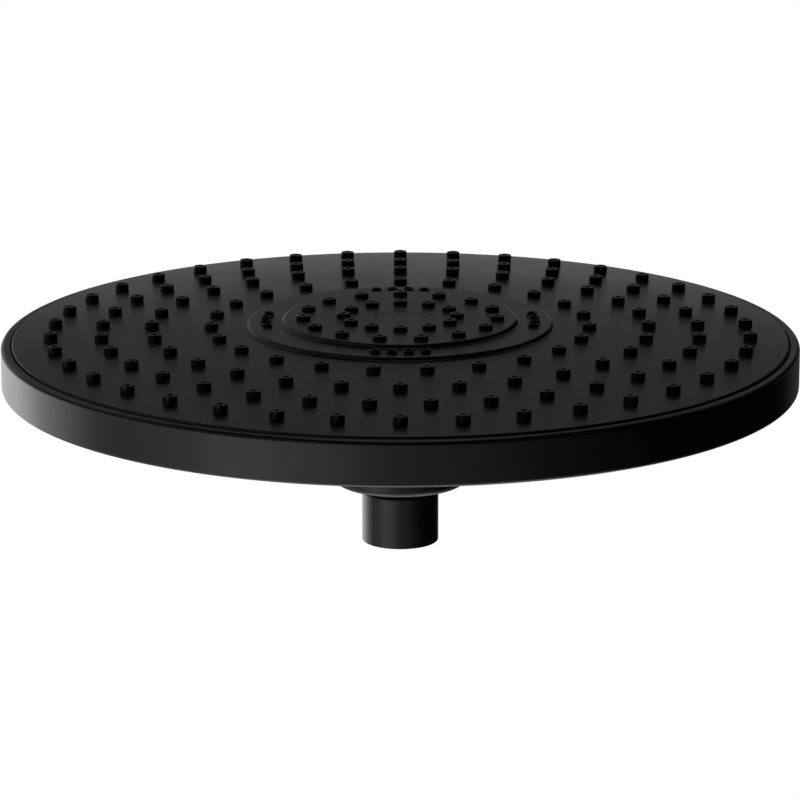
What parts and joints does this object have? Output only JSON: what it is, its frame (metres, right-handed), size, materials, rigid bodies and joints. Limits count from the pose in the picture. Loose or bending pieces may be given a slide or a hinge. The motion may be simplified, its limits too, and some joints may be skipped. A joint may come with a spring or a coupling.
{
  "type": "rain shower head",
  "caption": "Flat round rain shower head, spray face up, with stepped centre, silicone nozzles and a ball-jointed threaded inlet.",
  "frame": {"origin": "centre of the inlet connector's open end face, the lowest point on the head's axis", "axes": "+Z along the head's axis from the inlet to the spray face; +X to the right and -Y to the front, as the head is seen"},
  "size_m": [0.25, 0.25, 0.0739],
  "materials": {
    "matte_black": "matte, finely textured",
    "black_metal": "matte powder coat",
    "black_silicone": "soft matte",
    "inner_plastic": "moulded",
    "white_nylon": "moulded",
    "seal_rubber": "matte",
    "plain_brass": "turned",
    "bright_steel": "plain"
  },
  "bodies": {
    "inlet": {"inlet_connector": "black_metal", "ball_stem": "black_metal", "stem_o_ring": "seal_rubber", "flow_regulator": "white_nylon", "filter_screen": "bright_steel", "inlet_washer": "seal_rubber"},
    "lower_liner": {"friction_ring": "white_nylon"},
    "upper_liner": {"seal_cup": "seal_rubber"},
    "head": {"collar": "black_metal", "collar_o_ring": "seal_rubber", "inlet_hub": "plain_brass", "hub_nut": "bright_steel", "inlet_o_ring": "seal_rubber", "back_shell": "matte_black", "distribution_plate": "inner_plastic", "chamber_gasket": "seal_rubber", "chamber_screw_1": "bright_steel", "chamber_screw_2": "bright_steel", "chamber_screw_3": "bright_steel", "chamber_screw_4": "bright_steel", "chamber_screw_5": "bright_steel", "chamber_screw_6": "bright_steel", "rain_mat": "black_silicone", "mist_mat": "black_silicone", "centre_mat": "black_silicone", "face_plate": "matte_black", "mist_ring": "matte_black", "centre_plate": "matte_black", "centre_cap": "matte_black", "screw_seal": "seal_rubber", "centre_screw": "bright_steel"}
  },
  "joints": [
    {"name": "swivel", "type": "hinge", "parent": "inlet", "child": "lower_liner", "pos_m": [0, 0, 0.0275], "axis": [0, 0, 1], "continuous": true},
    {"name": "tilt", "type": "hinge", "parent": "lower_liner", "child": "upper_liner", "pos_m": [0, 0, 0.0275], "axis": [1, 0, 0], "range_deg": [-15, 15]},
    {"name": "spin", "type": "hinge", "parent": "upper_liner", "child": "head", "pos_m": [0, 0, 0.0275], "axis": [0, 0, 1], "continuous": true}
  ]
}
